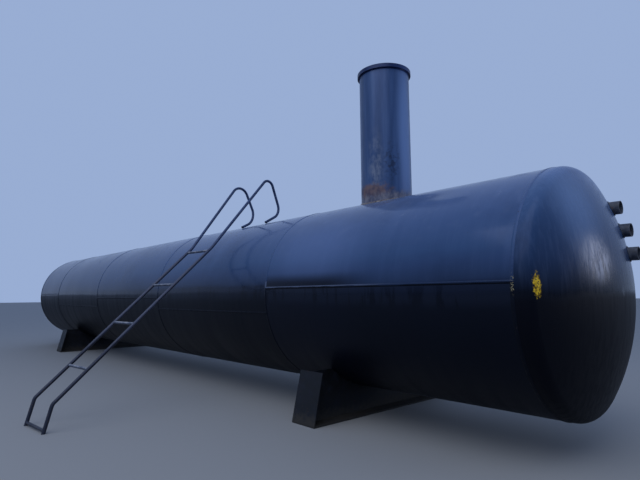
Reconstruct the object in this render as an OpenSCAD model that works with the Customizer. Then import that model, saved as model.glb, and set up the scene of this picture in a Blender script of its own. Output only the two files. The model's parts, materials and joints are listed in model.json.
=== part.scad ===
// Long horizontal pressure tank of welded plate on two low saddles. It has dished ends, a tall
// open neck on its crown, three short stubs on one end, and a bent-tube ladder that leans on its
// side and hooks over the crown. Millimetres. X runs along the tank, +X towards the near end,
// Z is up, and the origin is on the ground under the middle of the near saddle.

/* [Tank] */
// Outer diameter of the shell
shell_od = 2400; // [2260:20:2600]
// Height of the tank's axis above the ground
axis_height = 1500; // [1440:10:1620]
// Thickness of the shell plates
plate = 10; // [6:1:14]
// Length of each full course of plates
course_length = 3350; // [3200:10:3500]
// Length of the short closing course at the far end
closing_length = 2000; // [1500:10:2400]
// From the middle of the near saddle to the start of the near head's curve
near_overhang = 2595; // [2300:5:2800]

/* [Heads] */
// Thickness of the dished heads
head_plate = 12; // [8:1:16]
// Crown radius of the dished heads
crown_radius = 2400; // [2200:20:3000]
// Knuckle radius of the dished heads
knuckle_radius = 120; // [80:5:220]
// Straight flange of the dished heads
head_flange = 60; // [30:5:100]

/* [Welds] */
// Width of the weld beads
bead_width = 30; // [20:1:40]
// Height of the weld beads above the plate
bead_height = 6; // [3:0.5:8]
// Height of the long seams above the tank's middle in the courses 1 and 5, in degrees
seam_high = 3.6; // [0:0.2:8]
// Depth of the long seams below the tank's middle in the courses 2 and 4, in degrees
seam_low = 12; // [8:0.5:20]
// Depth of the long seams below the tank's middle in the course 3, in degrees
seam_mid = 2.2; // [0:0.2:6]

/* [Neck] */
// Outer diameter of the neck
neck_od = 670; // [600:5:740]
// Wall of the neck
neck_wall = 8; // [5:1:12]
// Height of the neck above the tank's crown
neck_height = 1790; // [1500:10:2000]
// From the middle of the near saddle to the neck, towards the near end
neck_offset = 270; // [-200:10:600]
// Thickness of the band around the neck's top
rim_thick = 27; // [15:1:40]
// Height of the band around the neck's top
rim_height = 50; // [30:1:80]
// Size of the fillet weld around the neck's foot
foot_weld = 14; // [8:1:20]

/* [Saddles] */
// Width of the saddle's end plates and base, along the tank
saddle_width = 390; // [300:10:460]
// Thickness of the saddle's base plate
base_thick = 20; // [12:1:30]
// Thickness of the saddle's web
web_thick = 16; // [10:1:24]
// Thickness of the saddle's leaning end plates
end_plate = 14; // [8:1:24]
// How far the saddle's foot stands out past the side of the shell
foot_spread = 50; // [0:5:120]
// How far the saddle's shoulder lies in from the side of the shell
shoulder_inset = 85; // [60:5:140]
// Height of the saddle's shoulder above the lowest line of the shell
shoulder_height = 290; // [220:5:330]

/* [Stubs] */
// Outer diameter of the stubs
stub_od = 133; // [100:1:150]
// Wall of the stubs
stub_wall = 6; // [4:0.5:12]
// How far a stub stands out of the head at its middle line
stub_reach = 90; // [70:5:140]
// How far the stubs lie off the tank's middle, on the side away from the ladder
stub_side = 500; // [300:10:560]
// Height of the top stub above the tank's axis
stub_top = 830; // [760:2:850]
// Spacing of the stubs
stub_pitch = 235; // [190:5:260]

/* [Ladder] */
// Outer diameter of the rails
rail_od = 42; // [34:1:50]
// Outer diameter of the rungs
rung_od = 34; // [26:1:34]
// Distance between the middles of the rails
ladder_width = 540; // [450:10:650]
// From the neck's middle back to the near rail, over the crown
ladder_back = 2350; // [2000:10:2700]
// Turn of the ladder, seen from above, in degrees
ladder_yaw = 6.5; // [0:0.5:9]
// How far the feet stand out from the crown line
foot_out = 3540; // [3400:10:3700]
// How far the knee above the feet stands out from the crown line
knee_out = 3462; // [3350:2:3520]
// Height of the knee above the ground
knee_height = 300; // [240:10:360]
// How far the near rail's upper bend stands out from the crown line
near_bend_out = 1380; // [1300:10:1450]
// How far the near rail's upper bend lies below the crown
near_bend_drop = 510; // [430:10:580]
// How far the far rail's upper bend stands out from the crown line
far_bend_out = 1360; // [1290:10:1420]
// Radius of the bend at the knees
knee_radius = 90; // [60:5:140]
// Radius of the rails' upper bends
upper_radius = 300; // [200:10:400]
// Distance of the lowest rung from the knee, along the rail
first_rung = 500; // [400:10:560]
// Spacing of the rungs along the rail
rung_pitch = 744; // [700:2:760]

/* [Ladder hooks] */
// Height of the near hoop's corner above the crown
near_hoop_rise = 780; // [700:5:860]
// How far the near hoop's corner stands out from the crown line
near_hoop_out = 240; // [200:5:300]
// Radius of the bend in the near hoop's top
near_hoop_radius = 115; // [80:5:140]
// Height of the near hook's corner above the crown
near_hook_rise = 161; // [130:1:220]
// How far the near hook's corner reaches over the crown line
near_hook_over = 10; // [-20:2:60]
// How far out from the crown line the near rail's end lies on the shell
near_end_out = 324; // [280:2:380]
// Height of the far hoop's corner above the crown
far_hoop_rise = 758; // [700:2:820]
// How far the far hoop's corner stands out from the crown line
far_hoop_out = 396; // [340:2:450]
// Radius of the bend in the far hoop's top
far_hoop_radius = 170; // [120:5:190]
// Height of the far hook's corner above the crown
far_hook_rise = 98; // [70:2:140]
// How far out from the crown line the far hook's corner stays
far_hook_out = 56; // [30:2:90]
// How far out from the crown line the far rail's end lies on the shell
far_end_out = 372; // [330:2:430]
// Radius of the bend at the near hook
near_hook_radius = 170; // [120:5:190]
// Radius of the bend at the far hook
far_hook_radius = 210; // [150:5:230]

/* [Hidden] */
$fn = 240;
// Gap left where a rail's end lies on the shell
seat_gap = 0.2;

paint = [0.13, 0.14, 0.16];
rust = [0.30, 0.20, 0.15];
steel = [0.22, 0.23, 0.25];

r = shell_od / 2;
crown_z = axis_height + r;
// Ends of the courses along X, from the near head backwards
near_tangent = near_overhang;
near_seam = near_tangent - head_flange;
lengths = [course_length, course_length, course_length, course_length, closing_length];
function course_end(n) = n == 0 ? near_seam : course_end(n - 1) - lengths[n - 1];
far_seam = course_end(5);
far_tangent = far_seam - head_flange;
seam_angles = [seam_high, -seam_low, -seam_mid, -seam_low, seam_high];
// The far saddle mirrors the near one about the middle of the tank
far_saddle_x = far_tangent + near_overhang;
// Middle of the circle that the near head's crown follows, along X
crown_centre = near_tangent - sqrt(pow(crown_radius - knuckle_radius, 2) - pow(r - knuckle_radius, 2));
// A bead is the cap of a circle through its width and height
bead_r = (bead_width * bead_width / 4 + bead_height * bead_height) / (2 * bead_height);
// How far out from the tank's axis a head's crown reaches before its knuckle starts
crown_edge = (r - knuckle_radius) * crown_radius / (crown_radius - knuckle_radius);
stub_bore = stub_od - 2 * stub_wall;
// The saddle's outline, half of it, over the end plates
foot_reach = r + foot_spread;
shoulder_reach = r - shoulder_inset;
shoulder_z = axis_height - r + shoulder_height;
big = 2 * shell_od;

// Lays a profile drawn in Y and Z along X, from x over a length
module along_x(x, length) {
    translate([x, 0, 0]) rotate([90, 0, 90]) linear_extrude(length) children();
}

// The part of the cross-section above the two long seams of a course
module above_seams(angle) {
    polygon([[0, 0], [big * cos(angle), big * sin(angle)], [big * cos(angle), big],
        [-big * cos(angle), big], [-big * cos(angle), big * sin(angle)]]);
}

// Cap of weld metal standing on the outside of the shell at a long seam
module bead_cap(angle) {
    difference() {
        for (s = [-1, 1])
            translate([s * (r + bead_height - bead_r) * cos(angle), (r + bead_height - bead_r) * sin(angle)])
                circle(bead_r);
        circle(r - plate / 2);
    }
}

module plate_section(n, upper) {
    translate([0, axis_height]) {
        if (upper) {
            difference() {
                intersection() {
                    circle(r);
                    above_seams(seam_angles[n]);
                }
                circle(r - plate);
                bead_cap(seam_angles[n]);
            }
        } else {
            difference() {
                circle(r);
                circle(r - plate);
                above_seams(seam_angles[n]);
                bead_cap(seam_angles[n]);
            }
        }
    }
}

// One half of a course, split at its long seams; the upper half carries the beads
module course_half(n, upper) {
    color(paint) difference() {
        union() {
            along_x(course_end(n + 1), lengths[n]) plate_section(n, upper);
            if (upper) along_x(course_end(n + 1), lengths[n])
                translate([0, axis_height]) bead_cap(seam_angles[n]);
        }
        if (upper && n == 0) neck_hole();
    }
}

module neck_hole() {
    translate([neck_offset, 0, axis_height]) cylinder(h = r + plate, d = neck_od - 2 * neck_wall);
}

// Half outline of a dished end with its axis up: flange, knuckle and crown
module dish(outer, knuckle, crown) {
    k = outer - knuckle;
    down = sqrt(pow(crown - knuckle, 2) - k * k);
    jr = k * crown / (crown - knuckle);
    jz = head_flange + down * crown / (crown - knuckle) - down;
    square([outer, head_flange]);
    polygon([[0, head_flange], [k, head_flange], [jr, jz], [0, jz]]);
    intersection() {
        translate([k, head_flange]) circle(knuckle);
        polygon([[k, head_flange], [outer + knuckle, head_flange], [outer + knuckle, jz],
            [k + 2 * (jr - k), head_flange + 2 * (jz - head_flange)]]);
    }
    intersection() {
        translate([0, head_flange - down]) circle(crown);
        translate([0, jz]) square([jr, crown]);
    }
}

module head() {
    rotate([0, 90, 0]) rotate_extrude() difference() {
        dish(r, knuckle_radius, crown_radius);
        translate([0, -0.01]) square([r - head_plate, 0.02]);
        dish(r - head_plate, knuckle_radius - head_plate, crown_radius - head_plate);
    }
}

module near_head() {
    color(paint) difference() {
        translate([near_seam, 0, axis_height]) head();
        for (i = [0 : 2]) stub_rod(i, stub_bore);
    }
}

module far_head() {
    color(paint) translate([far_seam, 0, axis_height]) mirror([1, 0, 0]) head();
}

module girth_weld(x) {
    color(steel) translate([x, 0, axis_height]) rotate([0, 90, 0]) rotate_extrude()
        difference() {
            translate([r + bead_height - bead_r, 0]) circle(bead_r);
            translate([0, -bead_r]) square([r, 2 * bead_r]);
        }
}

module tank_outside() {
    translate([far_tangent, 0, axis_height]) rotate([0, 90, 0])
        cylinder(h = near_tangent - far_tangent, r = r);
}

module neck_pipe() {
    color(paint) difference() {
        translate([neck_offset, 0, axis_height]) cylinder(h = r + neck_height, d = neck_od);
        translate([neck_offset, 0, axis_height - 1])
            cylinder(h = r + neck_height + 2, d = neck_od - 2 * neck_wall);
        tank_outside();
    }
}

module neck_rim() {
    color(paint) translate([neck_offset, 0, crown_z + neck_height - rim_height]) difference() {
        cylinder(h = rim_height, d = neck_od + 2 * rim_thick);
        translate([0, 0, -1]) cylinder(h = rim_height + 2, d = neck_od);
    }
}

// Fillet weld that follows the saddle-shaped line where the neck meets the shell
module neck_weld() {
    color(rust) difference() {
        intersection() {
            translate([neck_offset, 0, axis_height]) cylinder(h = r + neck_height / 2, d = neck_od + 2 * foot_weld);
            translate([neck_offset - neck_od, 0, axis_height]) rotate([0, 90, 0])
                cylinder(h = 2 * neck_od, r = r + foot_weld);
        }
        translate([neck_offset, 0, axis_height - 1]) cylinder(h = r + neck_height, d = neck_od);
        tank_outside();
    }
}

module saddle_base(x) {
    color(paint) translate([x - saddle_width / 2, -foot_reach, 0])
        cube([saddle_width, 2 * foot_reach, base_thick]);
}

// The web fills the space between the leaning end plates and carries the shell
module saddle_web(x) {
    lean = (foot_reach - shoulder_reach) / (shoulder_z - base_thick);
    inset = end_plate * sqrt(1 + lean * lean);
    color(paint) along_x(x - web_thick / 2, web_thick) difference() {
        polygon([[-foot_reach + inset, base_thick], [foot_reach - inset, base_thick],
            [shoulder_reach - inset, shoulder_z], [-shoulder_reach + inset, shoulder_z]]);
        translate([0, axis_height]) circle(r);
    }
}

module saddle_end(x, side) {
    lean = (foot_reach - shoulder_reach) / (shoulder_z - base_thick);
    inset = end_plate * sqrt(1 + lean * lean);
    color(paint) along_x(x - saddle_width / 2, saddle_width)
        polygon([[side * foot_reach, base_thick], [side * (foot_reach - inset), base_thick],
            [side * (shoulder_reach - inset), shoulder_z], [side * shoulder_reach, shoulder_z]]);
}

// A rail is bent in one plane through a list of corners, each rounded to its own radius
function turn_at(p, i) =
    let (a = atan2(p[i][1] - p[i - 1][1], p[i][0] - p[i - 1][0]),
         b = atan2(p[i + 1][1] - p[i][1], p[i + 1][0] - p[i][0]),
         d = b - a)
    d > 180 ? d - 360 : d < -180 ? d + 360 : d;
function trim_at(p, radii, i) =
    i == 0 || i == len(p) - 1 ? 0 : radii[i - 1] * tan(abs(turn_at(p, i)) / 2);

// Points of the bent line, each with the direction of the bar there: [x, y, angle]
function bent_line(p, radii) = [
    [p[0][0], p[0][1], atan2(p[1][1] - p[0][1], p[1][0] - p[0][0])],
    for (i = [1 : len(p) - 2])
        let (turn = turn_at(p, i), side = turn > 0 ? 1 : -1, bend = radii[i - 1],
             a = atan2(p[i][1] - p[i - 1][1], p[i][0] - p[i - 1][0]),
             t = trim_at(p, radii, i), steps = max(2, ceil(abs(turn) / 9)),
             cx = p[i][0] - t * cos(a) - side * bend * sin(a),
             cy = p[i][1] - t * sin(a) + side * bend * cos(a))
        for (k = [0 : steps])
            let (b = a + turn * k / steps)
            [cx + side * bend * sin(b), cy - side * bend * cos(b), b],
    [p[len(p) - 1][0], p[len(p) - 1][1],
        atan2(p[len(p) - 1][1] - p[len(p) - 2][1], p[len(p) - 1][0] - p[len(p) - 2][0])]
];

// Round bar swept along a bent line; its first end is cut level at height 0
module bent_bar(p, radii, rad, sides = 20) {
    line = bent_line(p, radii);
    last = len(line) - 1;
    ring = [for (j = [0 : sides - 1]) 360 * j / sides];
    points = [
        for (q = [0 : last]) for (f = ring)
            let (x = line[q][0] - rad * cos(f) * sin(line[q][2]),
                 y = line[q][1] + rad * cos(f) * cos(line[q][2]),
                 slip = q == 0 ? y / sin(line[q][2]) : 0)
            [x - slip * cos(line[q][2]), y - slip * sin(line[q][2]), rad * sin(f)]
    ];
    faces = [
        [for (j = [0 : sides - 1]) j],
        [for (j = [sides - 1 : -1 : 0]) last * sides + j],
        for (q = [0 : last - 1]) for (j = [0 : sides - 1])
            [q * sides + j, (q + 1) * sides + j, (q + 1) * sides + (j + 1) % sides, q * sides + (j + 1) % sides]
    ];
    polyhedron(points, faces, convexity = 6);
}

// Ladder frame: its Y leans towards the crown line, the near rail stands at x 0
module in_ladder() {
    translate([neck_offset - ladder_back, 0, 0]) rotate([0, 0, ladder_yaw]) children();
}

knee = [-knee_out, knee_height];
near_bend = [-near_bend_out, crown_z - near_bend_drop];
rail_rise = atan2(near_bend[1] - knee[1], near_bend[0] - knee[0]);
far_bend = [-far_bend_out, knee[1] + (knee_out - far_bend_out) * tan(rail_rise)];
foot_dir = [foot_out - knee_out, knee_height];
foot_end = [-foot_out, 0];
// Height at which the middle of a rail's end lies over the shell, out from the crown line
function on_shell(x, out) = axis_height
    + sqrt(pow(r + rail_od / 2 + seat_gap, 2) - pow(x * sin(ladder_yaw) - out * cos(ladder_yaw), 2));
near_points = [foot_end, knee, near_bend, [-near_hoop_out, crown_z + near_hoop_rise],
    [near_hook_over, crown_z + near_hook_rise], [-near_end_out, on_shell(0, near_end_out)]];
far_points = [foot_end, knee, far_bend, [-far_hoop_out, crown_z + far_hoop_rise],
    [-far_hook_out, crown_z + far_hook_rise], [-far_end_out, on_shell(-ladder_width, far_end_out)]];
near_radii = [knee_radius, upper_radius, near_hoop_radius, near_hook_radius];
far_radii = [knee_radius, upper_radius, far_hoop_radius, far_hook_radius];

module rail(x, points, radii) {
    color(paint) in_ladder() translate([x, 0, 0]) rotate([90, 0, 90])
        bent_bar(points, radii, rail_od / 2);
}

// Cross-bar coped to the two rails, at a place on them that runs in a given direction
module cross_bar(at, rise, dia) {
    color(paint) in_ladder() difference() {
        translate([-ladder_width, at[0], at[1]]) rotate([0, 90, 0])
            cylinder(h = ladder_width, d = dia, $fn = 32);
        for (x = [0, -ladder_width]) translate([x, at[0], at[1]]) rotate([rise - 90, 0, 0])
            translate([0, 0, -2 * rail_od]) cylinder(h = 4 * rail_od, d = rail_od, $fn = 32);
    }
}

module rung(i) {
    s = first_rung + (4 - i) * rung_pitch;
    cross_bar([knee[0] + s * cos(rail_rise), knee[1] + s * sin(rail_rise)], rail_rise, rung_od);
}

module ladder_foot_bar() {
    z = rung_od / 2 + 16;
    cross_bar([-foot_out + foot_dir[0] * z / foot_dir[1], z], atan2(foot_dir[1], foot_dir[0]), rung_od);
}

// Round bar along a stub's middle line, from the head's seam to the stub's end and a little past it
module stub_rod(i, dia, past = 0) {
    z = stub_top - i * stub_pitch;
    end = crown_centre + sqrt(crown_radius * crown_radius - z * z - stub_side * stub_side) + stub_reach;
    translate([near_seam - past, stub_side, axis_height + z]) rotate([0, 90, 0])
        cylinder(h = end - near_seam + 2 * past, d = dia);
}

// Short pipe end coped to the crown of the near head
module stub(i) {
    color(steel) difference() {
        stub_rod(i, stub_od);
        stub_rod(i, stub_bore, 1);
        translate([near_seam, 0, axis_height]) rotate([0, 90, 0]) rotate_extrude() intersection() {
            translate([0, crown_centre - near_seam]) circle(crown_radius, $fn = 1440);
            translate([0, -1]) square([crown_edge, crown_radius]);
        }
    }
}

near_head();
far_head();
course_half(0, true);  // course_1_upper
course_half(0, false);  // course_1_lower
course_half(1, true);  // course_2_upper
course_half(1, false);  // course_2_lower
course_half(2, true);  // course_3_upper
course_half(2, false);  // course_3_lower
course_half(3, true);  // course_4_upper
course_half(3, false);  // course_4_lower
course_half(4, true);  // course_5_upper
course_half(4, false);  // course_5_lower
girth_weld(near_seam);  // girth_weld_1
girth_weld(course_end(1));  // girth_weld_2
girth_weld(course_end(2));  // girth_weld_3
girth_weld(course_end(3));  // girth_weld_4
girth_weld(course_end(4));  // girth_weld_5
girth_weld(far_seam);  // girth_weld_6
neck_pipe();
neck_rim();
neck_weld();
saddle_base(0);  // near_saddle_base
saddle_web(0);  // near_saddle_web
saddle_end(0, -1);  // near_saddle_front_plate
saddle_end(0, 1);  // near_saddle_back_plate
saddle_base(far_saddle_x);  // far_saddle_base
saddle_web(far_saddle_x);  // far_saddle_web
saddle_end(far_saddle_x, -1);  // far_saddle_front_plate
saddle_end(far_saddle_x, 1);  // far_saddle_back_plate
rail(0, near_points, near_radii);  // ladder_near_rail
rail(-ladder_width, far_points, far_radii);  // ladder_far_rail
rung(1);  // ladder_rung_1
rung(2);  // ladder_rung_2
rung(3);  // ladder_rung_3
rung(4);  // ladder_rung_4
ladder_foot_bar();
stub(0);  // stub_top
stub(1);  // stub_middle
stub(2);  // stub_bottom
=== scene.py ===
import json
import math

import bmesh
import bpy
from mathutils import Matrix, Vector, noise


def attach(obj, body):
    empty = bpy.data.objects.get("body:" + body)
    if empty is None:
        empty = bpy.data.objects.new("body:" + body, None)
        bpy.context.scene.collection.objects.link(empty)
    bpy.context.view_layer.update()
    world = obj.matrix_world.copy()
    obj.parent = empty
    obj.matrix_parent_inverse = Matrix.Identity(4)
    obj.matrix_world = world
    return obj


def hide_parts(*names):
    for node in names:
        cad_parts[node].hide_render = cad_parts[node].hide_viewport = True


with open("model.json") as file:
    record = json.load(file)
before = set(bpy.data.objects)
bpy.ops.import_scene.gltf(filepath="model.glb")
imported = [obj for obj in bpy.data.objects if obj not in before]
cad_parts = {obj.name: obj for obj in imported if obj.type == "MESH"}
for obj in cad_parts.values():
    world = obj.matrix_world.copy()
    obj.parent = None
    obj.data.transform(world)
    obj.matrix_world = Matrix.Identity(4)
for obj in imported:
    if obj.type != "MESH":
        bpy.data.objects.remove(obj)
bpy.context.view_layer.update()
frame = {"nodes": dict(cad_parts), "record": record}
nodes = frame["nodes"]
print("frame loaded:", len(nodes), "nodes")

scene = bpy.context.scene
scene.view_settings.view_transform = "Standard"


def linear(text):
    # sRGB hex to the linear colour that a shader takes
    parts = [int(text[i:i + 2], 16) / 255 for i in (1, 3, 5)]
    return [c / 12.92 if c <= 0.04045 else ((c + 0.055) / 1.055) ** 2.4 for c in parts] + [1.0]


def turned(degrees, axis):
    return Matrix.Rotation(math.radians(degrees), 4, axis)


# Camera: a person's eye beside the near end, looking back along the tank
eye = {"place": (4.370, -4.917, 1.475), "turn": 47.87, "rise": 6.58, "roll": -0.4, "focal": 27.06,
       "clipStart": 0.05, "clipEnd": 400}
lens = bpy.data.cameras.new("eye")
lens.sensor_fit, lens.sensor_width, lens.lens = "HORIZONTAL", 36, eye["focal"]
lens.clip_start, lens.clip_end = eye["clipStart"], eye["clipEnd"]
camera = bpy.data.objects.new("eye", lens)
scene.collection.objects.link(camera)
camera.matrix_world = (Matrix.Translation(eye["place"]) @ turned(eye["turn"], "Z")
                       @ turned(90 + eye["rise"], "X") @ turned(eye["roll"], "Z"))
scene.camera = camera
print("camera placed")

# Studio: grey floor, cool soft dome, a large soft lamp overhead and a small one that the near head mirrors
studio = {"floor": "#828487", "floorRoughness": 0.9, "floorSize": 320, "floorMiddle": (-5, 0, 0),
          "dome": "#abc2ec", "domeStrength": 0.78,
          "lamps": {
              "overhead": {"power": 1150, "size": (17, 12), "place": (2, -9.5, 13), "aim": (-3, 0, 1.5)},
              "beside": {"power": 54, "size": (2.2, 2.0), "place": (8.35, 5.8, 3.25),
                         "aim": (2.9, -0.45, 1.75)}}}
world = bpy.data.worlds.new("dome")
scene.world = world
world.use_nodes = True
world.node_tree.nodes["Background"].inputs["Color"].default_value = linear(studio["dome"])
world.node_tree.nodes["Background"].inputs["Strength"].default_value = studio["domeStrength"]

for name, spec in studio["lamps"].items():
    lamp = bpy.data.lights.new(name, "AREA")
    lamp.shape, lamp.energy = "RECTANGLE", spec["power"]
    lamp.size, lamp.size_y = spec["size"]
    softbox = bpy.data.objects.new(name, lamp)
    scene.collection.objects.link(softbox)
    softbox.location = spec["place"]
    softbox.rotation_euler = (Vector(spec["aim"]) - softbox.location).to_track_quat("-Z", "Y").to_euler()

shape = bmesh.new()
bmesh.ops.create_grid(shape, x_segments=1, y_segments=1, size=studio["floorSize"] / 2,
                      matrix=Matrix.Translation(studio["floorMiddle"]))
floorMesh = bpy.data.meshes.new("floor")
shape.to_mesh(floorMesh)
shape.free()
floor = bpy.data.objects.new("floor", floorMesh)
scene.collection.objects.link(floor)
floorPaint = bpy.data.materials.new("matt studio floor")
floorPaint.use_nodes = True
floorShader = floorPaint.node_tree.nodes["Principled BSDF"]
floorShader.inputs["Base Color"].default_value = linear(studio["floor"])
floorShader.inputs["Roughness"].default_value = studio["floorRoughness"]
floorMesh.materials.append(floorPaint)
print("studio ready")

# What a paint is mixed from, by plain names: the node, its settings, the sockets that its values go to in
# turn, and the output that it gives, or None for all of them
nodeKinds = {
    "place": ("ShaderNodeTexCoord", {}, (), "Object"),
    "normal": ("ShaderNodeNewGeometry", {}, (), "Normal"),
    "axes": ("ShaderNodeSeparateXYZ", {}, (0,), None),
    "stretch": ("ShaderNodeMapping", {}, ("Vector", "Scale"), 0),
    "noise": ("ShaderNodeTexNoise", {}, ("Vector", "Scale", "Detail", "Roughness"), 0),
    "plus": ("ShaderNodeMath", {"operation": "ADD"}, (0, 1), 0),
    "minus": ("ShaderNodeMath", {"operation": "SUBTRACT"}, (0, 1), 0),
    "times": ("ShaderNodeMath", {"operation": "MULTIPLY"}, (0, 1), 0),
    "away": ("ShaderNodeVectorMath", {"operation": "SUBTRACT"}, (0, 1), 0),
    "share": ("ShaderNodeVectorMath", {"operation": "DIVIDE"}, (0, 1), 0),
    "length": ("ShaderNodeVectorMath", {"operation": "LENGTH"}, (0,), "Value"),
    "level": ("ShaderNodeMapRange", {}, ("Value", "From Min", "From Max"), 0),
    "fade": ("ShaderNodeMapRange", {"interpolation_type": "SMOOTHSTEP"},
             ("Value", "From Min", "From Max", "To Min", "To Max"), 0),
    "ramp": ("ShaderNodeValToRGB", {}, ("Fac",), 0),
    "over": ("ShaderNodeMix", {"data_type": "RGBA"}, (0, 6, 7), 2),
    "screen": ("ShaderNodeMix", {"data_type": "RGBA", "blend_type": "SCREEN"}, (0, 6, 7), 2),
    "darken": ("ShaderNodeMix", {"data_type": "RGBA", "blend_type": "MULTIPLY"}, (0, 6, 7), 2),
    "bump": ("ShaderNodeBump", {}, ("Height", "Distance", "Strength", "Normal"), 0)}


def add(tree, kind, *values, stops=()):
    # one node: a value is a number, a vector, a colour's hex, or the output that feeds its socket
    blenderName, settings, sockets, result = nodeKinds[kind]
    node = tree.nodes.new(blenderName)
    for name, value in settings.items():
        setattr(node, name, value)
    for socket, value in zip(sockets, values):
        if isinstance(value, bpy.types.NodeSocket):
            tree.links.new(value, node.inputs[socket])
        else:
            node.inputs[socket].default_value = linear(value) if isinstance(value, str) else value
    for i, (position, colour) in enumerate(stops):
        ramp = node.color_ramp.elements
        stop = ramp[i] if i < len(ramp) else ramp.new(position)
        stop.position, stop.color = position, linear(colour)
    return node.outputs if result is None else node.outputs[result]


def newPaint(name, roughness, specular, tint="#ffffff"):
    # a painted surface: its tree, its shader, and its place on the tank as a vector and as X, Y and Z
    paint = bpy.data.materials.new(name)
    paint.use_nodes = True
    tree = paint.node_tree
    shader = tree.nodes["Principled BSDF"]
    shader.inputs["Roughness"].default_value = roughness
    shader.inputs["Specular IOR Level"].default_value = specular
    shader.inputs["Specular Tint"].default_value = linear(tint)
    place = add(tree, "place")
    return paint, tree, shader, place, add(tree, "axes", place)


def cloudy(tree, place, scale, detail=3.0, stretch=(1, 1, 1), rough=0.5):
    # noise of a size per metre, stretched along the axes
    return add(tree, "noise", add(tree, "stretch", place, stretch), scale, detail, rough)


def near(tree, place, middle, half):
    # how far a place lies from a middle, 1 on the surface of a rounded patch of these half sizes
    return add(tree, "length", add(tree, "share", add(tree, "away", place, middle), half))


def wandering(tree, height, waves, reach):
    # a height whose level wanders up and down by a reach
    return add(tree, "plus", height, add(tree, "times", add(tree, "minus", waves, 0.5), reach))


def heightRamp(tree, height, stops):
    # the paint's colour from the tank's bottom to its crown
    return add(tree, "ramp", add(tree, "level", height, tank["bottom"], tank["crown"]), stops=stops)


def glaze(tree, colour, mask, top, strength, blend="over"):
    # another colour laid over the paint where the mask says, at a strength
    return add(tree, blend, add(tree, "times", mask, strength), colour, top)


def coat(tree, shader, colour, roughness, bumps):
    # the finished surface; each bump is (height, how far it stands in metres, strength)
    tree.links.new(colour, shader.inputs["Base Color"])
    tree.links.new(roughness, shader.inputs["Roughness"])
    relief = add(tree, "bump", *bumps[0])
    for bump in bumps[1:]:
        relief = add(tree, "bump", *bump, relief)
    tree.links.new(relief, shader.inputs["Normal"])


# The tank's own sizes in metres: its round, its girth seams from the near one on, its long seams' angles in
# degrees above the axis, and the sphere of its heads
tank = {"radius": 1.2, "axis": 1.5, "bottom": 0.3, "crown": 2.7, "nearSeam": 2.535,
        "courses": [3.35, 3.35, 3.35, 3.35, 2.0], "angles": [3.6, -12, -2.2, -12, 3.6],
        "crownRadius": 2.4, "crownCentre": 0.5871}
seams = [tank["nearSeam"] - sum(tank["courses"][:n]) for n in range(len(tank["courses"]) + 1)]

# Brushed black enamel on rolled plate: a deep gloss, with a painted sky reflection in slate blue on the upper
# half, nearly black and dull with dirt below, with soft waves in the plate and faint brush laps that carry a
# painted sheen. In the paints' dictionaries a pair of numbers is where something starts and where it is full,
# in metres along the tank or up from the ground, and a pair with a colour is the colour and how strongly it
# is laid on.
shellLook = {"wander": 0.1, "waves": 0.8, "lapWidth": 0.14, "sheenHeights": (1.45, 1.75), "dulls": (1.52, 1.44),
             "laps": ("#46587c", 0.07), "marks": ("#5a6a8c", 0.04), "clouds": ("#28303f", 0.2),
             "dentAndShade": ("#4a5360", 0.2), "dentPlace": (1.3, -0.66, 2.5), "dentHalf": (0.6, 0.28, 0.15),
             "pale": ("#6479a6", 0.3), "palePlace": (0.05, -1.05, 2.0), "paleHalf": (1.1, 0.6, 0.55),
             "courseStarts": (-0.84, -0.80), "stepUp": 0.05, "turnover": (0.3, 1.2),
             "climb": ("#080c16", 1.0), "climbs": (1.76, 1.6), "hang": ("#080c15", 0.6),
             "hangs": (1.60, 1.55), "bandColours": ("#141a27", "#04060a"), "band": 0.5,
             "bandFoot": (1.33, 1.44), "bandTop": (1.58, 1.54), "dustAndSheen": ("#7a86a0", 0.15),
             "dusty": (1.7, 2.7), "pits": ("#2c2220", 0.6)}
# black below, and a painted sky reflection in slate blue up to the crown
blackWithSkyReflection = [(0.0, "#05070b"), (0.46, "#05070c"), (0.485, "#090d16"), (0.515, "#111b2f"), (0.545, "#22314c"),
            (0.604, "#2b3e60"), (0.66, "#30476b"), (0.79, "#3a4f75"), (0.94, "#495b80"), (1.0, "#525f7a")]
farLook = {"reach": (0.5, -12), "tint": ("#6c7688", 0.45)}  # the paint dulls towards the far end
shellPaint, tree, shader, place, axes = newPaint("brushed black enamel with painted sky reflection", 0.25, 0.2, "#b9cbff")
waves = cloudy(tree, place, shellLook["waves"], 2.0, (0.5, 1, 1))
height = wandering(tree, axes[2], waves, shellLook["wander"])
# behind the first course the painted sky reflection starts a little higher, so the black reaches higher
behind = add(tree, "fade", axes[0], *reversed(shellLook["courseStarts"]), 0, shellLook["stepUp"])
height = add(tree, "minus", height, behind)
# a shallow dent in front of the neck, its hollow darkened with painted shade
dentAndShade = add(tree, "plus", near(tree, place, shellLook["dentPlace"], shellLook["dentHalf"]),
           add(tree, "times", waves, 0.6))
dentAndShade = add(tree, "fade", dentAndShade, 1.4, 0.3)
laps = cloudy(tree, place, 1.0, 3.0, (1 / shellLook["lapWidth"], 0.7, 0.7))
# the brush's own marks are drawn about 15 mm apart, wider than real ones, so that they show
marks = cloudy(tree, place, 1.0, 3.0, (65, 3, 3), 0.6)
clouds = cloudy(tree, place, 1.3, 5.0, (0.6, 1, 1), 0.6)
sheenedUpper = add(tree, "fade", height, *shellLook["sheenHeights"])
colour = heightRamp(tree, height, blackWithSkyReflection)
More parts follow.
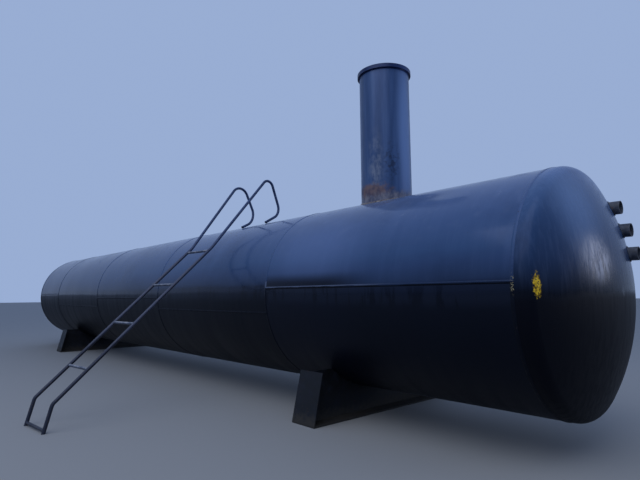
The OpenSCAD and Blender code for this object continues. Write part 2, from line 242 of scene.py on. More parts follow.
# on the upper half the laps and marks lighten the paint as a painted sheen
mask = add(tree, "times", sheenedUpper, add(tree, "fade", laps, 0.35, 0.75))
colour = glaze(tree, colour, mask, *shellLook["laps"], "screen")
mask = add(tree, "times", sheenedUpper, add(tree, "fade", marks, 0.45, 0.8))
colour = glaze(tree, colour, mask, *shellLook["marks"], "screen")
colour = glaze(tree, colour, add(tree, "fade", clouds, 0.45, 0.75), *shellLook["clouds"], "darken")
colour = glaze(tree, colour, add(tree, "fade", axes[0], *farLook["reach"]), *farLook["tint"], "darken")
colour = glaze(tree, colour, dentAndShade, *shellLook["dentAndShade"], "darken")
# a painted highlight on the crown in front of the neck
pale = add(tree, "fade", near(tree, place, shellLook["palePlace"], shellLook["paleHalf"]), 1.1, 0.1)
colour = glaze(tree, colour, pale, *shellLook["pale"])
# on the first course the black under the painted sky reflection climbs past the long seam at its back, and
# hangs below it in front
climb = add(tree, "times", add(tree, "fade", axes[0], *shellLook["courseStarts"]),
            add(tree, "fade", axes[0], *reversed(shellLook["turnover"])))
climb = add(tree, "times", climb, add(tree, "fade", height, *shellLook["climbs"]))
colour = glaze(tree, colour, climb, *shellLook["climb"])
hang = add(tree, "times", add(tree, "fade", axes[0], *shellLook["turnover"]),
           add(tree, "fade", height, *shellLook["hangs"]))
colour = glaze(tree, colour, hang, *shellLook["hang"])
# under the seam's line a dark blue-grey band, broken by short black drips
band = add(tree, "times", add(tree, "fade", height, *shellLook["bandFoot"]),
           add(tree, "fade", height, *shellLook["bandTop"]))
drips = add(tree, "fade", cloudy(tree, place, 1.0, 3.0, (13, 13, 1.6), 0.6), 0.52, 0.6)
colour = glaze(tree, colour, band, add(tree, "over", drips, *shellLook["bandColours"]), shellLook["band"])
# a patchy blue-grey film on the upper side, partly dust and partly a painted sky sheen
dustAndSheen = add(tree, "times", add(tree, "fade", axes[2], *shellLook["dusty"]),
           add(tree, "fade", cloudy(tree, place, 7, 6.0), 0.5, 0.8))
colour = glaze(tree, colour, dustAndSheen, *shellLook["dustAndSheen"])
# rust-brown pinholes, a few millimetres across
pits = add(tree, "fade", cloudy(tree, place, 55, 2.0), 0.75, 0.78)
colour = glaze(tree, colour, pits, *shellLook["pits"])
rough = add(tree, "plus", add(tree, "fade", laps, 0.3, 0.8, 0.12, 0.22), add(tree, "times", dustAndSheen, 0.2))
rough = add(tree, "plus", rough, add(tree, "fade", height, *shellLook["dulls"], 0, 0.3))
coat(tree, shader, colour, rough, [
    (cloudy(tree, place, 1.1, 1.0, (0.7, 1, 1)), 0.05, 0.3), (dentAndShade, -0.04, 0.45), (laps, 0.001, 0.1),
    (marks, 0.0005, 0.2), (cloudy(tree, place, 90, 2.0), 0.0008, 0.25), (pits, -0.001, 0.5)])

# The same black enamel on the pressed heads, with its painted sky reflection, laid on with long upright brush
# strokes that break up the gloss and carry a painted sheen on the upper half
headLook = {"wander": 0.2, "waves": 1.2, "strokeWidth": 0.04, "sheenHeights": (1.4, 1.7), "dulls": (1.52, 1.44),
            "strokes": ("#4a5a78", 0.12), "clouds": ("#28303f", 0.2), "pits": ("#2c2220", 0.6),
            "pale": ("#6c86b0", 0.5), "palePlace": (2.84, -0.52, 2.25), "paleHalf": (0.3, 0.4, 0.7),
            "highlightStrokes": ("#aeb0bd", 0.85), "highlightStrokesPlace": (2.94, -0.43, 1.77), "highlightStrokesHalf": (0.3, 0.27, 0.25),
            "yellowMarkColours": ("#6b5208", "#e6bd2c"), "yellowMark": 0.95, "yellowMarkPlace": (2.704, -1.127, 1.545),
            "yellowMarkHalf": (0.038, 0.04, 0.112)}
# black below, and a painted sky reflection in slate blue up to the crown
headBlackWithSkyReflection = [(0.0, "#040509"), (0.46, "#05060b"), (0.50, "#080c14"), (0.54, "#131d2f"), (0.62, "#213351"),
                (0.75, "#2c4367"), (0.88, "#42597f"), (1.0, "#566c98")]
headPaint, tree, shader, place, axes = newPaint("brushed black enamel on a dished head", 0.28, 0.13,
                                                "#c4d2ff")
height = wandering(tree, axes[2], cloudy(tree, place, headLook["waves"], 2.0), headLook["wander"])
strokes = cloudy(tree, place, 1.0, 4.0, (1 / headLook["strokeWidth"], 1 / headLook["strokeWidth"], 2.0), 0.6)
fine = cloudy(tree, place, 1.0, 4.0, (75, 75, 7), 0.7)
clouds = cloudy(tree, place, 2.2, 5.0, rough=0.6)
colour = heightRamp(tree, height, headBlackWithSkyReflection)
# on the upper half the strokes lighten the paint as a painted sheen
mask = add(tree, "times", add(tree, "fade", height, *headLook["sheenHeights"]),
           add(tree, "fade", strokes, 0.42, 0.75))
colour = glaze(tree, colour, mask, *headLook["strokes"], "screen")
colour = glaze(tree, colour, add(tree, "fade", clouds, 0.45, 0.75), *headLook["clouds"], "darken")
# a painted highlight on the near head's upper shoulder
pale = add(tree, "fade", near(tree, place, headLook["palePlace"], headLook["paleHalf"]), 1.1, 0.1)
colour = glaze(tree, colour, pale, *headLook["pale"])
# a painted highlight on the near head's shoulder, broken into pale strokes about 33 mm wide so that they show
broken = cloudy(tree, place, 1.0, 5.0, (30, 30, 6.5), 0.75)
highlightStrokes = add(tree, "fade", near(tree, place, headLook["highlightStrokesPlace"], headLook["highlightStrokesHalf"]), 1.0, 0.25)
highlightStrokes = add(tree, "times", highlightStrokes, add(tree, "fade", broken, 0.4, 0.62))
colour = glaze(tree, colour, highlightStrokes, *headLook["highlightStrokes"])
# a yellow mark on the near head's knuckle, with ragged edges and specks
yellowMark = add(tree, "plus", near(tree, place, headLook["yellowMarkPlace"], headLook["yellowMarkHalf"]),
          add(tree, "times", cloudy(tree, place, 45, 6.0, rough=0.75), 1.7))
yellowMark = add(tree, "times", add(tree, "fade", yellowMark, 1.85, 1.6),
          add(tree, "fade", cloudy(tree, place, 75, 4.0), 0.38, 0.5))
yellowSpecks = add(tree, "fade", cloudy(tree, place, 30, 4.0), 0.35, 0.6)
colour = glaze(tree, colour, yellowMark, add(tree, "over", yellowSpecks, *headLook["yellowMarkColours"]), headLook["yellowMark"])
pits = add(tree, "fade", cloudy(tree, place, 60, 2.0), 0.75, 0.78)
colour = glaze(tree, colour, pits, *headLook["pits"])
rough = add(tree, "plus", add(tree, "fade", strokes, 0.3, 0.75, 0.2, 0.34), add(tree, "times", highlightStrokes, 0.15))
rough = add(tree, "plus", rough, add(tree, "fade", height, *headLook["dulls"], 0, 0.25))
coat(tree, shader, colour, rough, [
    (cloudy(tree, place, 1.5, 1.0), 0.03, 0.25), (strokes, 0.0025, 0.35), (fine, 0.0012, 0.4),
    (cloudy(tree, place, 90, 2.0), 0.0008, 0.25)])

# Enamel over weld beads, with the shell's painted sky reflection: glossy over their ripples, with a few
# rust-brown chips; beside the yellow mark it carries small painted glints of bright metal
weldLook = {"dulls": (1.52, 1.44), "chips": ("#2b201c", 0.5), "crestHighlight": ("#6f788e", 0.3),
            "crestStarts": (-0.9, -0.82), "crestEnds": (1.5, 0.6), "crestFoot": (1.574, 1.579),
            "crestTop": (1.68, 1.64), "black": ("#04060a", 1.0), "blackStarts": (-0.86, -0.8),
            "blackFoot": (1.44, 1.47), "bare": ("#a39a78", 0.8), "glintPlace": (2.545, -1.2, 1.56),
            "glintHalf": (0.03, 0.1, 0.11)}
weldPaint, tree, shader, place, axes = newPaint("enamel over weld beads", 0.3, 0.2, "#b9cbff")
colour = heightRamp(tree, axes[2], blackWithSkyReflection)
colour = glaze(tree, colour, add(tree, "fade", axes[0], *farLook["reach"]), *farLook["tint"], "darken")
chips = add(tree, "fade", cloudy(tree, place, 34, 4.0, rough=0.6), 0.63, 0.69)
colour = glaze(tree, colour, chips, *weldLook["chips"])
# the first course's long seam is painted black below its crest as painted shade
black = add(tree, "times", add(tree, "fade", axes[2], *weldLook["blackFoot"]),
            add(tree, "fade", axes[2], *reversed(weldLook["crestFoot"])))
black = add(tree, "times", black, add(tree, "fade", axes[0], *weldLook["blackStarts"]))
colour = glaze(tree, colour, black, *weldLook["black"])
# and along the course's back half that crest carries a pale painted highlight
back = add(tree, "times", add(tree, "fade", axes[0], *weldLook["crestStarts"]),
           add(tree, "fade", axes[0], *weldLook["crestEnds"]))
crestHighlight = add(tree, "times", add(tree, "fade", axes[2], *weldLook["crestFoot"]),
            add(tree, "fade", axes[2], *weldLook["crestTop"]))
colour = glaze(tree, colour, add(tree, "times", back, crestHighlight), *weldLook["crestHighlight"])
# small painted glints of pale metal on the near girth weld beside the yellow mark
bare = add(tree, "fade", near(tree, place, weldLook["glintPlace"], weldLook["glintHalf"]), 1.0, 0.3)
bare = add(tree, "times", bare, add(tree, "fade", cloudy(tree, place, 90, 3.0), 0.53, 0.62))
colour = glaze(tree, colour, bare, *weldLook["bare"])
rough = add(tree, "plus", add(tree, "fade", cloudy(tree, place, 20, 3.0), 0.3, 0.7, 0.2, 0.4),
            add(tree, "fade", axes[2], *weldLook["dulls"], 0, 0.25))
coat(tree, shader, colour, rough, [(cloudy(tree, place, 120, 3.0), 0.0015, 0.4)])

# Satin black paint on the neck, with a painted sky reflection in slate blue, brightest in a painted
# reflection down one side: rubbed grey in a long wisp, blotched dark beside it, scorched and rusted in one
# patch above its foot, grey scale at the weld, darker round the rim
neckLook = {"streaks": [(0.3, "#253a5b"), (0.5, "#2e446a"), (0.7, "#3a5177"), (0.85, "#465c84")],
            "edgeReflection": ("#6480b0", 0.85), "edgeReflectionPlace": (0.62, 0.02, 3.6), "edgeReflectionHalf": (0.22, 0.19, 1.5),
            "wisp": ("#6a7486", 0.85), "wispPlace": (0.36, -0.32, 3.12), "wispHalf": (0.15, 0.2, 0.65),
            "blot": ("#141b2c", 0.7), "blotPlace": (0.53, -0.2, 3.18), "blotHalf": (0.13, 0.17, 0.36),
            "rustColours": ("#40333a", "#6c564c"), "burn": 0.82, "burnPlace": (0.3, -0.33, 2.81),
            "burnHalf": (0.3, 0.26, 0.11), "scaleColours": ("#494852", "#76747a"), "scale": 0.8,
            "scaled": (2.85, 2.75), "footWander": 0.14, "footDrop": 0.45, "rim": ("#5a72a0", 0.9),
            "rimStarts": (4.42, 4.43)}
neckPaint, tree, shader, place, axes = newPaint("rain-streaked satin black paint", 0.4, 0.4, "#b9cbff")
rain = cloudy(tree, place, 1.0, 4.0, (11, 11, 0.9), 0.55)
blots = cloudy(tree, place, 14, 6.0, (1, 1, 0.6), 0.65)
# the streaked base is slate blue, a painted sky reflection on the black paint
colour = add(tree, "ramp", rain, stops=neckLook["streaks"])
# a painted sky reflection down the neck's side towards the near head
edgeReflection = add(tree, "fade", near(tree, place, neckLook["edgeReflectionPlace"], neckLook["edgeReflectionHalf"]), 1.1, 0.2)
colour = glaze(tree, colour, edgeReflection, *neckLook["edgeReflection"])
wisp = add(tree, "fade", near(tree, place, neckLook["wispPlace"], neckLook["wispHalf"]), 1.0, 0.1)
wisp = add(tree, "times", wisp, add(tree, "fade", blots, 0.35, 0.7))
colour = glaze(tree, colour, wisp, *neckLook["wisp"])
blot = add(tree, "fade", near(tree, place, neckLook["blotPlace"], neckLook["blotHalf"]), 1.0, 0.2)
blot = add(tree, "times", blot, add(tree, "fade", cloudy(tree, place, 19, 5.0, rough=0.6), 0.45, 0.6))
colour = glaze(tree, colour, blot, *neckLook["blot"])
burn = add(tree, "plus", near(tree, place, neckLook["burnPlace"], neckLook["burnHalf"]),
           add(tree, "times", cloudy(tree, place, 13, 6.0, rough=0.7), 1.6))
burn = add(tree, "fade", burn, 2.0, 1.3)
rust = add(tree, "fade", cloudy(tree, place, 8, 5.0), 0.38, 0.62)
rust = add(tree, "over", rust, *neckLook["rustColours"])
colour = glaze(tree, colour, burn, rust, neckLook["burn"])
# the scale's upper edge wanders, and drops towards the neck's two sides as its foot does
foot = add(tree, "times", add(tree, "minus", blots, 0.5), neckLook["footWander"])
foot = add(tree, "minus", axes[2], foot)
drop = add(tree, "times", add(tree, "times", axes[1], axes[1]), neckLook["footDrop"])
foot = add(tree, "fade", add(tree, "plus", foot, drop), *neckLook["scaled"])
scale = add(tree, "over", add(tree, "fade", blots, 0.35, 0.65), *neckLook["scaleColours"])
colour = glaze(tree, colour, foot, scale, neckLook["scale"])
colour = glaze(tree, colour, add(tree, "fade", axes[2], *neckLook["rimStarts"]), *neckLook["rim"], "darken")
rough = add(tree, "plus", add(tree, "fade", blots, 0.3, 0.7, 0.3, 0.42), add(tree, "times", burn, 0.3))
coat(tree, shader, colour, rough, [
    (rain, 0.002, 0.25), (wisp, -0.001, 0.6), (cloudy(tree, place, 70, 3.0), 0.001, 0.3),
    (add(tree, "times", burn, cloudy(tree, place, 160, 3.0)), 0.002, 0.6)])

# Scorched weld round the neck's foot: rough grey scale, dark in its hollows, paler and browner on its crests
rustLook = {"scale": [(0.3, "#2a2a32"), (0.45, "#4b474d"), (0.58, "#77706c"), (0.72, "#9a958e")]}
rustPaint, tree, shader, place, axes = newPaint("scorched weld with rust", 0.7, 0.4)
scale = cloudy(tree, place, 24, 6.0, rough=0.65)
colour = add(tree, "ramp", scale, stops=rustLook["scale"])
coat(tree, shader, colour, add(tree, "fade", scale, 0.3, 0.7, 0.5, 0.85), [
    (scale, 0.002, 0.6), (cloudy(tree, place, 180, 3.0), 0.001, 0.6)])

# Dull black paint on the saddles: splashed with dry mud at the foot, rust in its chips
saddleLook = {"grime": [(0.3, "#06090e"), (0.5, "#0b0f17"), (0.7, "#151a26")], "mud": ("#3a3733", 0.55),
              "splashes": (0.34, 0.0), "rust": ("#4a2f22", 0.6)}
saddlePaint, tree, shader, place, axes = newPaint("dull black paint with splashed mud", 0.6, 0.25)
grime = cloudy(tree, place, 9, 6.0, rough=0.65)
colour = add(tree, "ramp", grime, stops=saddleLook["grime"])
mud = add(tree, "plus", add(tree, "fade", axes[2], *saddleLook["splashes"]),
          add(tree, "times", cloudy(tree, place, 22, 5.0), 0.9))
mud = add(tree, "fade", mud, 1.0, 1.5)
colour = glaze(tree, colour, mud, *saddleLook["mud"])
rusty = add(tree, "fade", cloudy(tree, place, 30, 5.0, rough=0.7), 0.64, 0.7)
colour = glaze(tree, colour, rusty, *saddleLook["rust"])
rough = add(tree, "plus", add(tree, "fade", grime, 0.3, 0.7, 0.45, 0.65), add(tree, "times", mud, 0.25))
coat(tree, shader, colour, rough, [
    (cloudy(tree, place, 45, 4.0), 0.0015, 0.4), (mud, 0.002, 0.5), (rusty, -0.001, 0.6)])

# Worn grey-black paint on the ladder's tubes: rubbed grey where it is climbed, nearly black with dirt at the
# foot, rust in the chips
ladderLook = {"scuffs": [(0.3, "#192642"), (0.5, "#243557"), (0.65, "#34466b"), (0.82, "#535f7a")],
              "rubbed": ("#3e3d40", 0.7), "rubs": (2.5, 1.9), "dirt": ("#0e0f12", 0.8), "dirty": (1.15, 0.8),
              "chips": ("#51402f", 0.8)}
ladderPaint, tree, shader, place, axes = newPaint("worn paint on ladder tube", 0.42, 0.5, "#c4d2ff")
scuffs = cloudy(tree, place, 12, 5.0, rough=0.65)
colour = add(tree, "ramp", scuffs, stops=ladderLook["scuffs"])
colour = glaze(tree, colour, add(tree, "fade", axes[2], *ladderLook["rubs"]), *ladderLook["rubbed"])
colour = glaze(tree, colour, add(tree, "fade", axes[2], *ladderLook["dirty"]), *ladderLook["dirt"])
chips = add(tree, "fade", cloudy(tree, place, 45, 4.0, rough=0.6), 0.62, 0.66)
colour = glaze(tree, colour, chips, *ladderLook["chips"])
coat(tree, shader, colour, add(tree, "fade", scuffs, 0.3, 0.7, 0.35, 0.6), [
    (cloudy(tree, place, 60, 3.0), 0.001, 0.35), (chips, -0.0006, 0.7)])

# The rungs' tops are walked bare: pale, half-polished steel through the same paint
rungLook = {"scuffs": [(0.3, "#1a2130"), (0.5, "#333c4e"), (0.7, "#6d7280")], "bare": ("#8f9199", 0.7)}
rungPaint, tree, shader, place, axes = newPaint("rung paint walked bare", 0.45, 0.5, "#d3dcf5")
scuffs = cloudy(tree, place, 16, 5.0, rough=0.65)
colour = add(tree, "ramp", scuffs, stops=rungLook["scuffs"])
facingUp = add(tree, "fade", add(tree, "axes", add(tree, "normal"))[2], 0.0, 0.8)
bare = add(tree, "times", facingUp, add(tree, "fade", scuffs, 0.35, 0.6))
colour = glaze(tree, colour, bare, *rungLook["bare"])
coat(tree, shader, colour, add(tree, "fade", scuffs, 0.3, 0.7, 0.35, 0.55), [
    (cloudy(tree, place, 60, 3.0), 0.001, 0.35), (scuffs, 0.001, 0.3)])

# Dull dark grey paint on the stubs, dusty and chipped to rust
stubLook = {"grime": [(0.3, "#252b38"), (0.5, "#393f4c"), (0.7, "#565d6b")], "rust": ("#553526", 0.7)}
stubPaint, tree, shader, place, axes = newPaint("dusty dark grey paint", 0.55, 0.4)
grime = cloudy(tree, place, 18, 5.0, rough=0.65)
colour = add(tree, "ramp", grime, stops=stubLook["grime"])
rusty = add(tree, "fade", cloudy(tree, place, 40, 5.0, rough=0.7), 0.6, 0.68)
colour = glaze(tree, colour, rusty, *stubLook["rust"])
coat(tree, shader, colour, add(tree, "fade", grime, 0.3, 0.7, 0.45, 0.7), [
    (cloudy(tree, place, 80, 4.0), 0.001, 0.5), (rusty, -0.0006, 0.6)])
print("paints mixed")

paints = {"shell_paint": shellPaint, "head_paint": headPaint, "weld_paint": weldPaint,
          "neck_paint": neckPaint, "neck_rust": rustPaint, "saddle_paint": saddlePaint,
          "ladder_paint": ladderPaint, "stub_paint": stubPaint}
for part in frame["record"]["subparts"]:
    mesh = nodes[part["node"]].data
    mesh.materials.clear()
    mesh.materials.append(rungPaint if "rung" in part["node"] else paints[part["material_slot"]])
print("nodes painted")


def makePiece(name, shape, paint, stands=(), edge=40):
    # a finished piece: smooth but for sharp edges, fixed to the tank, in place of the nodes it stands for
    bmesh.ops.recalc_face_normals(shape, faces=shape.faces)
    mesh = bpy.data.meshes.new(name)
    shape.to_mesh(mesh)
    shape.free()
    for face in mesh.polygons:
        face.use_smooth = True
    mesh.set_sharp_from_angle(angle=math.radians(edge))
    mesh.materials.append(paint)
    piece = bpy.data.objects.new(name, mesh)
    scene.collection.objects.link(piece)
    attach(piece, "root")
    if stands:
        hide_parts(*stands)


def only(kind, parts):
    return [part for part in parts if isinstance(part, kind)]


def section(shape, laid, sides, radius=1, capped=False):
    # the round that a bead is swept from, laid across the start of its path
    ring = bmesh.ops.create_circle(shape, segments=sides, radius=radius, matrix=laid, cap_ends=capped)
    return ring["verts"] + list(dict.fromkeys(edge for vert in ring["verts"] for edge in vert.link_edges))


def roundBead(shape, laid, sides, steps, centre, axis):
    # a closed bead spun once round an axis; gives its vertices
    fresh = len(shape.verts)
    bmesh.ops.spin(shape, geom=section(shape, laid, sides), cent=centre, axis=axis, angle=math.tau,
                   steps=steps, use_merge=True)
    shape.verts.ensure_lookup_table()
    return shape.verts[fresh:]


def cappedBead(shape, laid, sides, radius, steps, centre=(0, 0, 0), turn=0, stride=(0, 0, 0)):
    # a bead with closed ends, swept round X through a centre, or straight on by a stride at each step
    last = bmesh.ops.spin(shape, geom=section(shape, laid, sides, radius, True), cent=centre, axis=(1, 0, 0),
                          angle=turn, dvec=stride, steps=steps)["geom_last"]
    bmesh.ops.contextual_create(shape, geom=only(bmesh.types.BMEdge, last))


def ripple(run, pitch, lift, seed):
    # how far a weld's surface stands out at a place along its run: one ripple a pitch, and slow swells
    slow = noise.noise(Vector((run * 6, seed, 0.3)))
    return lift * (0.55 * math.cos(math.tau * run / pitch + 1.5 * slow) + 0.9 * slow)


# Girth welds: a bead 33 mm wide round each seam, its ripples drawn 21 mm apart, coarser than real ones. The
# ripples bow backwards towards the bead's edges, and the bead wanders a little from side to side.
girth = {"halfWidth": 0.0165, "halfHeight": 0.0052, "sides": 8, "steps": 1080, "pitch": 0.021,
         "lift": 0.0011, "bow": 0.006, "wander": 0.002, "jitter": 0.0009, "inside": 0.001}
for number, x in enumerate(seams, 1):
    shape = bmesh.new()
    laid = (Matrix.Translation((x, 0, tank["crown"])) @ turned(90, "X")
            @ Matrix.Diagonal((girth["halfWidth"], girth["halfHeight"], 1, 1)))
    roundBead(shape, laid, girth["sides"], girth["steps"], (0, 0, tank["axis"]), (1, 0, 0))
    bmesh.ops.remove_doubles(shape, verts=shape.verts, dist=1e-5)
    for vert in shape.verts:
        out = Vector((0, vert.co.y, vert.co.z - tank["axis"]))
        turn = math.atan2(out.y, out.z)
        bow = (vert.co.x - x) / girth["halfWidth"]
        run = turn * tank["radius"] + girth["bow"] * bow * bow
        if out.length > tank["radius"] - girth["inside"]:
            vert.co += out.normalized() * ripple(run, girth["pitch"], girth["lift"], number)
        wave = Vector((math.cos(turn), math.sin(turn), number * 3))
        vert.co.x += girth["wander"] * noise.noise(wave * 5) + girth["jitter"] * noise.noise(wave * 60)
    makePiece("girth_bead_%d" % number, shape, weldPaint, ["girth_weld_%d" % number])
print("girth welds laid")

# Long seams: the same bead run straight along each course on both sides, its ends buried in the girth welds.
# Half its width is an angle of 0.79 degrees on the shell.
seam = {"halfWidth": 0.0165, "halfHeight": 0.006, "halfAngle": 0.79, "short": 0.012, "sides": 10,
        "step": 0.0105, "pitch": 0.021, "lift": 0.0009, "bow": 0.006, "wander": 0.0015, "inside": 0.001,
        "seed": 20}
for number, degrees in enumerate(tank["angles"]):
    shape = bmesh.new()
    start, end = seams[number + 1] + seam["short"], seams[number] - seam["short"]
    steps = round((end - start) / seam["step"])
    angle = math.radians(degrees)
    for side in (-1, 1):
        tilt = math.atan2(math.sin(angle), side * math.cos(angle))
        foot = Vector((start, side * tank["radius"] * math.cos(angle),
                       tank["axis"] + tank["radius"] * math.sin(angle)))
        laid = (Matrix.Translation(foot) @ Matrix.Rotation(tilt, 4, "X") @ turned(90, "Y")
                @ Matrix.Diagonal((seam["halfWidth"], seam["halfHeight"], 1, 1)))
        cappedBead(shape, laid, seam["sides"], 1, steps, stride=((end - start) / steps, 0, 0))
    for vert in shape.verts:
        out = Vector((0, vert.co.y, vert.co.z - tank["axis"]))
        off = (math.degrees(math.atan2(out.z, abs(out.y))) - degrees) / seam["halfAngle"]
        run = vert.co.x + seam["bow"] * off * off
        if out.length > tank["radius"] - seam["inside"]:
            vert.co += out.normalized() * ripple(run, seam["pitch"], seam["lift"], seam["seed"] + number)
        vert.co.z += seam["wander"] * noise.noise(Vector((vert.co.x * 3, number, 7)))
    makePiece("seam_bead_%d" % (number + 1), shape, weldPaint)
print("long seams laid")

# Neck: the fillet weld at its foot follows the line where it meets the shell; a smaller one is under the rim
neck = {"x": 0.27, "radius": 0.335, "steps": 300, "sides": 8, "pitch": 0.014, "out": 0.004, "up": 0.003,
        "footHalf": (0.0075, 0.014), "footLift": 0.0014, "footSeed": 40,
        "rimRadius": 0.338, "rimUnder": 4.439, "rimHalf": 0.0045, "rimLift": 0.0009, "rimSeed": 41}
shape = bmesh.new()
laid = (Matrix.Translation((neck["x"] + neck["radius"] + neck["out"], 0, 0)) @ turned(90, "X")
        @ turned(45, "Z") @ Matrix.Diagonal((*neck["footHalf"], 1, 1)))
roundBead(shape, laid, neck["sides"], neck["steps"], (neck["x"], 0, 0), (0, 0, 1))
bmesh.ops.remove_doubles(shape, verts=shape.verts, dist=1e-5)
for vert in shape.verts:
    out = Vector((vert.co.x - neck["x"], vert.co.y, 0))
    run = math.atan2(out.y, out.x) * neck["radius"]
    lift = ripple(run, neck["pitch"], neck["footLift"], neck["footSeed"])
    vert.co += out.normalized() * lift + Vector((0, 0, lift))
    vert.co.z += tank["axis"] + math.sqrt(tank["radius"] ** 2 - vert.co.y ** 2) + neck["up"]
makePiece("neck_foot_bead", shape, rustPaint, ["neck_weld"])

shape = bmesh.new()
laid = (Matrix.Translation((neck["x"] + neck["rimRadius"], 0, neck["rimUnder"])) @ turned(90, "X")
        @ Matrix.Diagonal((neck["rimHalf"], neck["rimHalf"], 1, 1)))
roundBead(shape, laid, neck["sides"], neck["steps"], (neck["x"], 0, 0), (0, 0, 1))
bmesh.ops.remove_doubles(shape, verts=shape.verts, dist=1e-5)
for vert in shape.verts:
    out = Vector((vert.co.x - neck["x"], vert.co.y, 0))
    run = math.atan2(out.y, out.x) * neck["radius"]
    vert.co += out.normalized() * ripple(run, neck["pitch"], neck["rimLift"], neck["rimSeed"])
makePiece("neck_rim_bead", shape, neckPaint)
print("neck welds laid")

# Stubs: a fillet weld where each meets the head's crown
stubs = {"count": 3, "side": 0.5, "top": 0.83, "pitch": 0.235, "radius": 0.0665, "steps": 96, "sides": 8,
         "up": 0.002, "half": (0.0065, 0.0105), "ripplePitch": 0.009, "lift": 0.0008, "seed": 50}
shape = bmesh.new()
for number in range(stubs["count"]):
    z = tank["axis"] + stubs["top"] - number * stubs["pitch"]
    laid = (Matrix.Translation((0, stubs["side"], z + stubs["radius"] + stubs["up"])) @ turned(90, "X")
            @ turned(-45, "Z") @ Matrix.Diagonal((*stubs["half"], 1, 1)))
    for vert in roundBead(shape, laid, stubs["sides"], stubs["steps"], (0, stubs["side"], z), (1, 0, 0)):
        out = Vector((0, vert.co.y - stubs["side"], vert.co.z - z))
        run = math.atan2(out.y, out.z) * stubs["radius"]
        lift = ripple(run, stubs["ripplePitch"], stubs["lift"], stubs["seed"] + number)
        vert.co += out.normalized() * lift
        off = math.hypot(vert.co.y, vert.co.z - tank["axis"])
        vert.co.x += tank["crownCentre"] + math.sqrt(tank["crownRadius"] ** 2 - off ** 2) + stubs["up"]
bmesh.ops.remove_doubles(shape, verts=shape.verts, dist=1e-5)
makePiece("stub_beads", shape, stubPaint)
print("stub welds laid")

# Ladder rails: one tube each, bent in one plane, in place of the faceted solids. A corner is how far it lies
# out from the crown line and how high; the ladder stands at its own turn on the ground. Both rails climb from
# the knee along one line, which runs through bend.
ladder = {"place": (-2.08, 0, 0), "turn": 6.5, "width": 0.54, "tube": 0.021, "wall": 0.003, "bore": 0.04,
          "seatGap": 0.0002, "sides": 32, "arcStep": 0.012, "foot": (3.54, 0.0), "knee": (3.462, 0.3),
          "kneeRadius": 0.09, "bend": (1.38, 2.19), "bendRadius": 0.3,
          "near": {"bendOut": 1.38, "hoop": (0.24, 3.48), "hoopRadius": 0.115, "hook": (-0.01, 2.861),
                   "hookRadius": 0.17, "endOut": 0.324},
          "far": {"bendOut": 1.36, "hoop": (0.396, 3.458), "hoopRadius": 0.17, "hook": (0.056, 2.798),
                  "hookRadius": 0.21, "endOut": 0.372}}
standing = Matrix.Translation(ladder["place"]) @ turned(ladder["turn"], "Z")
kneeAt, bendAt = (Vector((0, -ladder[name][0], ladder[name][1])) for name in ("knee", "bend"))
climb = (bendAt - kneeAt).normalized()
for name, across in (("near", 0.0), ("far", -ladder["width"])):
    rail = ladder[name]
    bendRise = (ladder["knee"][0] - rail["bendOut"]) * climb.z / climb.y
    # where the hooked end comes to lie on the shell, seen along the rail's own plane
    turn = math.radians(ladder["turn"])
    side = across * math.sin(turn) - rail["endOut"] * math.cos(turn)
    rest = tank["axis"] + math.sqrt((tank["radius"] + ladder["tube"] + ladder["seatGap"]) ** 2 - side ** 2)
    corners = [ladder["foot"], ladder["knee"], (rail["bendOut"], ladder["knee"][1] + bendRise), rail["hoop"],
               rail["hook"], (rail["endOut"], rest)]
    radii = [0, ladder["kneeRadius"], ladder["bendRadius"], rail["hoopRadius"], rail["hookRadius"], 0]
    points = [Vector((0, -out, up)) for out, up in corners]
    shape = bmesh.new()
    heading = (points[1] - points[0]).normalized()
    upright = Matrix.Rotation(math.atan2(heading.z, heading.y) - math.pi / 2, 4, "X")
    bmesh.ops.create_circle(shape, segments=ladder["sides"], radius=ladder["tube"],
                            matrix=Matrix.Translation(points[0]) @ upright)
    for vert in shape.verts:
        vert.co -= heading * (vert.co.z / heading.z)  # cut level on the ground
    edges = shape.edges[:]
    at = points[0]
    for i in range(1, len(points)):
        heading = (points[i] - points[i - 1]).normalized()
        trim = bend = 0
        if i < len(points) - 1:
            onward = (points[i + 1] - points[i]).normalized()
            bend = math.atan2(heading.y * onward.z - heading.z * onward.y, heading.dot(onward))
            trim = radii[i] * math.tan(abs(bend) / 2)
        goal = points[i] - heading * trim
        grown = bmesh.ops.extrude_edge_only(shape, edges=edges)["geom"]
        bmesh.ops.translate(shape, verts=only(bmesh.types.BMVert, grown), vec=goal - at)
        edges = only(bmesh.types.BMEdge, grown)
        at = goal
        if bend:
            centre = goal + Vector((0, -heading.z, heading.y)) * math.copysign(radii[i], bend)
            steps = max(6, round(abs(bend) * radii[i] / ladder["arcStep"]))
            swept = bmesh.ops.spin(shape, geom=edges, cent=centre, axis=(1, 0, 0), angle=bend, steps=steps)
            edges = only(bmesh.types.BMEdge, swept["geom_last"])
            at = points[i] + onward * trim
    # the hooked end shows the tube's wall and bore
    cap = bmesh.ops.contextual_create(shape, geom=edges)["faces"]
    bmesh.ops.inset_individual(shape, faces=cap, thickness=ladder["wall"])
    bore = bmesh.ops.extrude_discrete_faces(shape, faces=cap)["faces"]
    bmesh.ops.translate(shape, verts=bore[0].verts, vec=heading * -ladder["bore"])
    bmesh.ops.remove_doubles(shape, verts=shape.verts, dist=1e-5)
    bmesh.ops.holes_fill(shape, edges=shape.edges, sides=ladder["sides"])
    bmesh.ops.transform(shape, matrix=standing @ Matrix.Translation((across, 0, 0)), verts=shape.verts)
    makePiece("ladder_%s_tube" % name, shape, ladderPaint, ["ladder_%s_rail" % name])
print("rails bent")

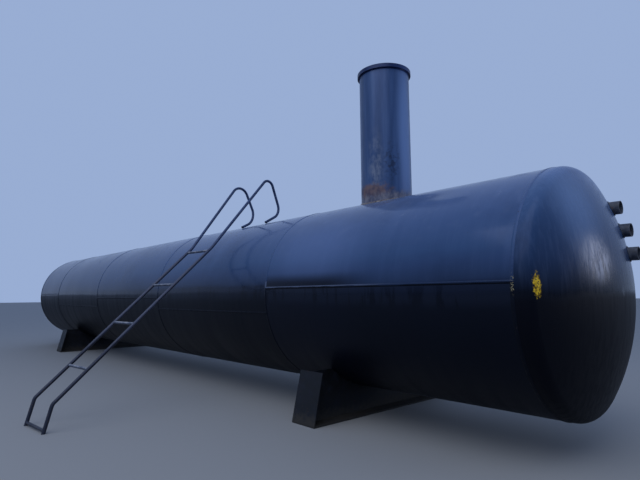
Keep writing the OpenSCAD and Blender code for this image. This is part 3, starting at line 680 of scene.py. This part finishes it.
# Rung welds: a small fillet round each end of each rung and of the foot bar, on the rail's round side
rungs = {"count": 4, "first": 0.5, "pitch": 0.744, "radius": 0.017, "barHeight": 0.033, "steps": 40,
         "sides": 6, "up": 0.001, "half": (0.0035, 0.0058), "widest": 0.02, "lumps": 0.04}
footAt = Vector((0, -ladder["foot"][0], ladder["foot"][1]))
footRise = (kneeAt - footAt).normalized()
spots = [(kneeAt + climb * (rungs["first"] + k * rungs["pitch"]), climb) for k in range(rungs["count"])]
spots.append((footAt + footRise * (rungs["barHeight"] / footRise.z), footRise))
shape = bmesh.new()
for number, (spot, along) in enumerate(spots):
    lean = Vector((0, -along.z, along.y))
    for across, inward in ((0.0, -1), (-ladder["width"], 1)):
        centre = Vector((across, spot.y, spot.z))
        laid = (Matrix.Translation(centre + Vector((0, 0, rungs["radius"] + rungs["up"]))) @ turned(90, "X")
                @ turned(45 * inward, "Z") @ Matrix.Diagonal((*rungs["half"], 1, 1)))
        for vert in roundBead(shape, laid, rungs["sides"], rungs["steps"], centre, (1, 0, 0)):
            off = min(abs((vert.co - centre).dot(lean)), rungs["widest"])
            vert.co.x += inward * (math.sqrt(ladder["tube"] ** 2 - off ** 2) + rungs["up"])
            bump = noise.noise(vert.co * 120 + Vector((number, 0, 0)))
            vert.co += (vert.co - centre) * rungs["lumps"] * bump
bmesh.ops.remove_doubles(shape, verts=shape.verts, dist=1e-6)
bmesh.ops.transform(shape, matrix=standing, verts=shape.verts)
makePiece("rung_beads", shape, ladderPaint)
print("rung welds laid")

# Saddles: fillet welds along the web's foot and up its ends, and round the shell's underside between the two
# points where the web's flat top meets it
saddles = {"spots": {"near": 0.0, "far": -10.33}, "halfWidth": 0.195, "webHalf": 0.008, "base": 0.02,
           "foot": 1.25, "shoulder": 1.115, "shoulderHeight": 0.59, "plate": 0.014, "leg": 0.006,
           "sides": 6, "step": 0.012, "roundSteps": 160, "lumps": 0.0009}
lean = (saddles["foot"] - saddles["shoulder"]) / (saddles["shoulderHeight"] - saddles["base"])
leaning = Vector((0, -lean, 1)).normalized()
leaningLength = (saddles["shoulderHeight"] - saddles["base"]) / leaning.z
innerFoot = saddles["foot"] - saddles["plate"] * math.sqrt(1 + lean * lean)
drop = tank["axis"] - saddles["shoulderHeight"]
half = math.atan2(math.sqrt(tank["radius"] ** 2 - drop ** 2), drop)
for name, x in saddles["spots"].items():
    shape = bmesh.new()
    runs = []
    for face in (-1, 1):
        at = x + face * saddles["webHalf"]
        runs.append((Vector((at, -innerFoot, saddles["base"])), Vector((0, 1, 0)), 2 * innerFoot))
        for end in (-1, 1):
            runs.append((Vector((at, end * innerFoot, saddles["base"])),
                         Vector((0, end * leaning.y, leaning.z)), leaningLength))
    for end in (-1, 1):
        runs.append((Vector((x - saddles["halfWidth"], end * innerFoot, saddles["base"])),
                     Vector((1, 0, 0)), 2 * saddles["halfWidth"]))
    for start, along, length in runs:
        steps = max(2, round(length / saddles["step"]))
        laid = Matrix.Translation(start) @ along.to_track_quat("Z", "Y").to_matrix().to_4x4()
        cappedBead(shape, laid, saddles["sides"], saddles["leg"], steps, stride=along * (length / steps))
    for face in (-1, 1):
        at = Vector((x + face * saddles["webHalf"], -tank["radius"] * math.sin(half),
                     tank["axis"] - tank["radius"] * math.cos(half)))
        laid = Matrix.Translation(at) @ turned(90, "X") @ Matrix.Rotation(-half, 4, "Y")
        cappedBead(shape, laid, saddles["sides"], saddles["leg"], saddles["roundSteps"],
                   centre=(0, 0, tank["axis"]), turn=2 * half)
    for vert in shape.verts:
        vert.co += Vector((1, 1, 1)) * saddles["lumps"] * noise.noise(vert.co * 70)
    makePiece("%s_saddle_beads" % name, shape, saddlePaint)
print("saddle welds laid")
